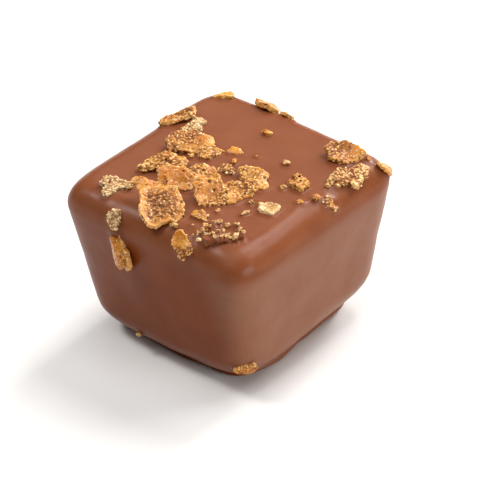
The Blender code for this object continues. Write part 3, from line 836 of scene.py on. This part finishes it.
def evaluated(obj):
    """The object's mesh with its modifiers applied; the object and its own mesh are dropped."""
    seen = obj.evaluated_get(bpy.context.evaluated_depsgraph_get())
    result = bpy.data.meshes.new_from_object(seen)
    own = obj.data
    bpy.data.objects.remove(obj)
    bpy.data.meshes.remove(own)
    return result


def merged(mesh, voxel):
    """The mesh with its layers melted into one skin."""
    obj = bpy.data.objects.new("merged", mesh)
    bpy.context.scene.collection.objects.link(obj)
    melt = obj.modifiers.new("melt", "REMESH")
    melt.mode = "VOXEL"
    melt.voxel_size = voxel
    return evaluated(obj)


def note(mesh, label, values):
    """Keeps one number a vertex under that name."""
    attribute = mesh.attributes.new(label, "FLOAT", "POINT")
    attribute.data.foreach_set("value", np.asarray(values, dtype=np.float32))


def places(mesh):
    """The vertices of a mesh as rows of numbers."""
    flat = np.empty(len(mesh.vertices) * 3)
    mesh.vertices.foreach_get("co", flat)
    return flat.reshape(-1, 3)


def note_leaf(mesh, placing, flake):
    """Notes how coarse, toasted and near the rim each vertex of a flake is, and the flake's tone."""
    back = placing.inverted()
    local = places(mesh) @ np.array(back.to_3x3()).T + np.array(back.translation)
    reach = rim_reach(flake, np.arctan2(local[:, 1], local[:, 0]))
    rim = np.clip(np.hypot(local[:, 0], local[:, 1]) / reach, 0, 1)
    middle, along, across, edge = flake.grain
    coarse = middle + along * local[:, 0] * 2 / flake.length + across * local[:, 1] * 2 / flake.width
    coarse = np.clip(coarse - edge * rim**3, 0, 1)
    note(mesh, "coarse", coarse)
    note(mesh, "tone", np.full(len(rim), flake.tone))
    note(mesh, "toast", flake.toast * np.clip(coarse * TOAST_GAIN, 0, 1))
    note(mesh, "rim", rim)


def note_crumb(mesh):
    """Notes the same for a crumb, which is alike all over."""
    for label, value in CRUMB_SKIN.items():
        note(mesh, label, np.full(len(mesh.vertices), value))


def grained(mesh, tree, material, values):
    """The mesh with its grain raised."""
    obj = bpy.data.objects.new("grained", mesh)
    bpy.context.scene.collection.objects.link(obj)
    grow = obj.modifiers.new("grain", "NODES")
    grow.node_group = tree
    sockets = {s.name: s.identifier for s in tree.interface.items_tree if s.in_out == "INPUT"}
    for label, value in values.items():
        grow[sockets[label]] = value
    grow[sockets["Material"]] = material
    return evaluated(obj)


def joined(name, meshes):
    """One mesh out of many, with their noted values kept."""
    bm = bmesh.new()
    for mesh in meshes:
        bm.from_mesh(mesh)
        bpy.data.meshes.remove(mesh)
    whole = bpy.data.meshes.new(name)
    bm.to_mesh(whole)
    bm.free()
    return whole


def shader_group(name, inputs, outputs):
    """An empty shader node group with named sockets."""
    group = bpy.data.node_groups.new(name, "ShaderNodeTree")
    kinds = {"color": "NodeSocketColor", "value": "NodeSocketFloat"}
    for label, kind, value in inputs:
        socket = group.interface.new_socket(label, in_out="INPUT", socket_type=kinds[kind])
        socket.default_value = value
    for label, kind in outputs:
        group.interface.new_socket(label, in_out="OUTPUT", socket_type=kinds[kind])
    return group


def below_top(radii):
    """The height that many shoulder radii below the top, in metres."""
    return (HEIGHT - radii * SHOULDER_RADIUS) * MM


def mottle_group():
    """Slow cloudiness of tempered chocolate, and the bloom with painted sheen of its right-hand wall and
    its top.
    """
    group = shader_group(
        "chocolate mottle",
        [
            ("Base", "color", (0.156, 0.034, 0.006, 1)),
            ("Lighter", "color", (0.178, 0.04, 0.008, 1)),
            # Bloom with painted sheen: a pale colour, partly bloom and partly reflected light painted in
            ("Bloom and Painted Sheen", "color", (0.208, 0.086, 0.046, 1)),
        ],
        [("Color", "color"), ("Roughness", "value"), ("Height", "value")],
    )
    n = Nodes(group)
    start = n.add("NodeGroupInput").outputs
    end = n.add("NodeGroupOutput")
    place = n.add("ShaderNodeTexCoord").outputs["Object"]
    axes = n.add("ShaderNodeSeparateXYZ", Vector=place).outputs
    cloud = n.noise(place, 0.22 / MM, 4.0, 0.6)
    speck = n.noise(place, 2.2 / MM, 3.0, 0.6)
    # Painted sheen: the right-hand wall and the top are made paler, partly bloom and partly reflected light
    # painted in
    side = n.fade(axes["X"], BLOOM_AND_PAINTED_SHEEN_FROM * MM, BLOOM_AND_PAINTED_SHEEN_TO * MM)
    low = n.fade(axes["Z"], *map(below_top, WALL_BLOOM_AND_PAINTED_SHEEN_FADE))
    top = n.fade(axes["Z"], *map(below_top, TOP_BLOOM_AND_PAINTED_SHEEN_FADE), 0.0, TOP_BLOOM_AND_PAINTED_SHEEN)
    bloom_and_painted_sheen = n.math("MAXIMUM", n.math("MULTIPLY", side, low), top)
    bloom_and_painted_sheen = n.math("MULTIPLY", bloom_and_painted_sheen, n.fade(cloud, 0.25, 0.65, 0.6, 1.0))
    color = n.mix(n.fade(cloud, 0.3, 0.7), start["Base"], start["Lighter"])
    n.put(n.mix(bloom_and_painted_sheen, color, start["Bloom and Painted Sheen"]), end.inputs["Color"])
    n.put(n.fade(cloud, 0.3, 0.7, *COATING_ROUGHNESS), end.inputs["Roughness"])
    n.put(speck, end.inputs["Height"])
    return group


def dressed(name, group, colors, bump_strength, bump_height):
    """A material that wears a group's colour, roughness and bump, with its shader and the group's node."""
    material = bpy.data.materials.new(name)
    material.use_nodes = True
    nodes, links = material.node_tree.nodes, material.node_tree.links
    look = nodes.new("ShaderNodeGroup")
    look.node_tree = group
    for label, color in colors.items():
        look.inputs[label].default_value = color
    bump = nodes.new("ShaderNodeBump")
    bump.inputs["Strength"].default_value = bump_strength
    bump.inputs["Distance"].default_value = bump_height * MM
    shader = nodes["Principled BSDF"]
    links.new(look.outputs["Color"], shader.inputs["Base Color"])
    links.new(look.outputs["Roughness"], shader.inputs["Roughness"])
    links.new(look.outputs["Height"], bump.inputs["Height"])
    links.new(bump.outputs[0], shader.inputs["Normal"])
    return material, shader, look


def chocolate(mottle):
    """Satin milk chocolate."""
    material, shader, _ = dressed("milk chocolate", mottle, {}, 0.25, 0.02)
    shader.inputs["IOR"].default_value = 1.45
    shader.inputs["Specular IOR Level"].default_value = 0.15
    return material


def baked_group():
    """Caramelised wafer coloured by what its skin notes: zones, painted shade in hollows, sugar and painted
    glints.
    """
    group = shader_group(
        "baked wafer",
        [
            ("Grain", "value", 0.5),
            ("Zone", "value", 0.5),
            ("Rough", "value", 0.5),
            ("Sunk", "value", 0.0),
            ("Tone", "value", 0.5),
            ("Toast", "value", 0.0),
            ("Rim", "value", 0.0),
            *((label, "color", color) for label, color in WAFER_COLORS.items()),
        ],
        [("Color", "color"), ("Roughness", "value"), ("Height", "value")],
    )
    n = Nodes(group)
    start = n.add("NodeGroupInput").outputs
    end = n.add("NodeGroupOutput")
    place = n.add("ShaderNodeTexCoord").outputs["Object"]
    patch = n.noise(place, 0.8 / MM, 3.0, 0.6)
    fleck = n.noise(place, 6.5 / MM, 2.0, 0.6)
    cloud = n.math("SUBTRACT", patch, n.math("MULTIPLY_ADD", start["Tone"], 0.45, -0.22))
    skin = n.mix(n.fade(cloud, 0.38, 0.6), start["Caramel"], start["Golden"])
    skin = n.mix(n.fade(cloud, 0.56, 0.8), skin, start["Pale"])
    skin = n.mix(n.math("MULTIPLY", n.fade(fleck, 0.45, 0.7), 0.35), skin, start["Pale"])
    skin = n.mix(n.fade(start["Rough"], 0.32, 0.5, 0.85, 0.0), skin, start["Caramel"])
    # Painted shade: the lowest dips of the rough skin are darkened
    skin = n.mix(n.fade(start["Rough"], 0.26, 0.4, 0.6, 0.0), skin, start["Painted Pit Shade"])
    browned = n.math("MULTIPLY", start["Toast"], n.fade(patch, 0.38, 0.62, 1.0, 0.3))
    skin = n.mix(browned, skin, start["Toasted"])
    # Painted light: the rim is made paler, standing in for light passing through the thin edges
    edge = n.math("MULTIPLY", n.fade(start["Rim"], 0.78, 1.0), n.fade(fleck, 0.3, 0.6, 0.15, 0.65))
    skin = n.mix(edge, skin, start["Pale"])
    # Grain tops made paler: partly sugar, partly a painted highlight on the raised grains
    sugar_and_painted_glint = n.math("MULTIPLY", start["Zone"], n.fade(start["Grain"], 0.35, 0.85, 0.0, 0.8))
    sugar_and_painted_glint = n.math("MULTIPLY", sugar_and_painted_glint, n.math("MULTIPLY_ADD", start["Toast"], -0.5, 1.0))
    skin = n.mix(sugar_and_painted_glint, skin, start["Pale"])
    # Painted shade between the grains in a toast colour, and darker still in the deepest gaps
    gap_shade = n.math("MULTIPLY", start["Zone"], n.fade(start["Grain"], 0.05, 0.55, 0.9, 0.0))
    skin = n.mix(gap_shade, skin, start["Toasted"])
    deep_gap_shade = n.math("MULTIPLY", start["Zone"], n.fade(start["Grain"], 0.0, 0.3, 1.0, 0.0))
    deep_gap_shade = n.math("MULTIPLY", deep_gap_shade, n.math("MULTIPLY_ADD", start["Toast"], 0.5, 0.3))
    skin = n.mix(deep_gap_shade, skin, start["Painted Pit Shade"])
    # Sugar specks on the grain tops, partly painted glints that stand in for their sparkle
    speck = n.math("MULTIPLY", n.fade(start["Grain"], 0.6, 0.95), n.fade(fleck, 0.52, 0.62))
    skin = n.mix(speck, skin, start["Sugar and Painted Glint"])
    # Painted shade: the sunk pits and creases are darkened almost to black
    skin = n.mix(n.math("MULTIPLY", start["Sunk"], 0.85), skin, start["Painted Pit Shade"])
    n.put(skin, end.inputs["Color"])
    n.put(n.fade(n.math("ADD", fleck, start["Zone"]), 0.4, 1.5, 0.3, 0.6), end.inputs["Roughness"])
    n.put(fleck, end.inputs["Height"])
    return group


def wafer(tone, baked):
    """A caramelised wafer of one tone, a little light passing through it."""
    material, shader, look = dressed(tone + " wafer", baked, WAFER_TONES[tone], 0.5, 0.03)
    tree = material.node_tree
    for label in ("Grain", "Zone", "Rough", "Sunk", "Tone", "Toast", "Rim"):
        attribute = tree.nodes.new("ShaderNodeAttribute")
        attribute.attribute_name = label.lower()
        tree.links.new(attribute.outputs["Fac"], look.inputs[label])
    shader.inputs["Specular IOR Level"].default_value = 0.3
    shader.inputs["Subsurface Weight"].default_value = 0.4
    shader.inputs["Subsurface Radius"].default_value = (1.0, 0.6, 0.25)
    shader.inputs["Subsurface Scale"].default_value = 0.35 * MM
    return material


def plain(name, color, roughness):
    """A plain material for the floor."""
    material = bpy.data.materials.new(name)
    material.use_nodes = True
    shader = material.node_tree.nodes["Principled BSDF"]
    shader.inputs["Base Color"].default_value = color
    shader.inputs["Roughness"].default_value = roughness
    shader.inputs["Specular IOR Level"].default_value = 0.0
    return material


def finish_piece(name, mesh, material):
    """A finished piece of the praline in metres, riding on its one body."""
    mesh.materials.clear()
    mesh.materials.append(material)
    mesh.transform(Matrix.Scale(MM, 4))
    mesh.shade_smooth()
    obj = bpy.data.objects.new(name, mesh)
    bpy.context.scene.collection.objects.link(obj)
    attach(obj, "root")
    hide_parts("praline")


def build_praline():
    """The block, its flakes and its crumbs."""
    baked, tree = baked_group(), grain_tree()
    coating = chocolate(mottle_group())
    finishes = {"coated": coating} | {tone: wafer(tone, baked) for tone in WAFER_TONES}
    block = block_mesh("chocolate block", COLUMNS)
    ground = tree_of(block)
    kinds = {}
    gathered = bmesh.new()
    for i, flake in enumerate(FLAKES):
        base, placing = flake_base(flake, ground, LEAF_SEED + i)
        gathered.from_mesh(base)
        skin = merged(base, LEAF_VOXEL)
        note_leaf(skin, placing, flake)
        kinds.setdefault(flake.kind, []).append(skin)
    lump = tree_of(kinds["coated"][0])
    for i, crumb in enumerate(CRUMBS + lump_crumbs()):
        base = crumb_base(crumb, lump if crumb.on_lump else ground, CRUMB_SEED + i)
        gathered.from_mesh(base)
        skin = merged(base, CRUMB_VOXEL)
        note_crumb(skin)
        kinds[crumb.kind].append(skin)
    add_relief(block, BVHTree.FromBMesh(gathered))
    gathered.free()
    finish_piece("chocolate_block", block, coating)
    for kind, skins in kinds.items():
        relief, slot = (COATED_RELIEF, "milk_chocolate") if kind == "coated" else ({}, "wafer")
        whole = grained(joined(kind, skins), tree, finishes[kind], relief)
        finish_piece(kind + "_flakes", whole, finishes[kind])


def softbox(name, bearing, rise, watts, size):
    """A square soft light, aimed at the praline from that bearing and rise."""
    light = bpy.data.lights.new(name, "AREA")
    light.energy = watts
    light.size = size
    a, e = math.radians(bearing), math.radians(rise)
    place = Vector((math.cos(a) * math.cos(e), math.sin(a) * math.cos(e), math.sin(e))) * SOFTBOX_DISTANCE
    box = bpy.data.objects.new(name, light)
    box.location = place
    box.rotation_euler = (AIM - place).to_track_quat("-Z", "Y").to_euler()
    bpy.context.scene.collection.objects.link(box)


def build_studio():
    """Pale floor and soft lights."""
    bm = bmesh.new()
    bmesh.ops.create_grid(bm, x_segments=1, y_segments=1, size=FLOOR_HALF)
    mesh = bpy.data.meshes.new("floor")
    bm.to_mesh(mesh)
    bm.free()
    mesh.materials.append(plain("white table", FLOOR_COLOR, FLOOR_ROUGHNESS))
    floor = bpy.data.objects.new("floor", mesh)
    bpy.context.scene.collection.objects.link(floor)
    world = bpy.data.worlds.new("studio")
    world.use_nodes = True
    sky = world.node_tree.nodes["Background"]
    sky.inputs["Color"].default_value = (1, 1, 1, 1)
    sky.inputs["Strength"].default_value = WORLD_LIGHT
    bpy.context.scene.world = world
    for name, (bearing, rise, watts, size) in SOFTBOXES.items():
        softbox(name, bearing, rise, watts, size)
    bpy.context.scene.view_settings.view_transform = "Standard"


def build_camera():
    """The camera at the photograph's viewing angle."""
    az, el, roll = (math.radians(a) for a in (CAMERA_AZIMUTH, CAMERA_RISE, CAMERA_ROLL))
    back = Vector((math.sin(az) * math.cos(el), -math.cos(az) * math.cos(el), math.sin(el)))
    data = bpy.data.cameras.new("camera")
    data.sensor_width = CAMERA_SENSOR
    data.lens = PIXELS_PER_MM / MM * CAMERA_DISTANCE / FRAME_PIXELS * CAMERA_SENSOR
    data.shift_x = (FRAME_PIXELS / 2 - MIDDLE_PIXEL[0]) / FRAME_PIXELS
    data.shift_y = (MIDDLE_PIXEL[1] - FRAME_PIXELS / 2) / FRAME_PIXELS
    data.clip_start = 0.01
    data.clip_end = 10
    camera = bpy.data.objects.new("camera", data)
    turned = back.to_track_quat("Z", "Y").to_matrix() @ Matrix.Rotation(-roll, 3, "Z")
    camera.matrix_world = Matrix.Translation(AIM + back * CAMERA_DISTANCE) @ turned.to_4x4()
    bpy.context.scene.collection.objects.link(camera)
    bpy.context.scene.camera = camera


build_camera()
build_praline()
build_studio()
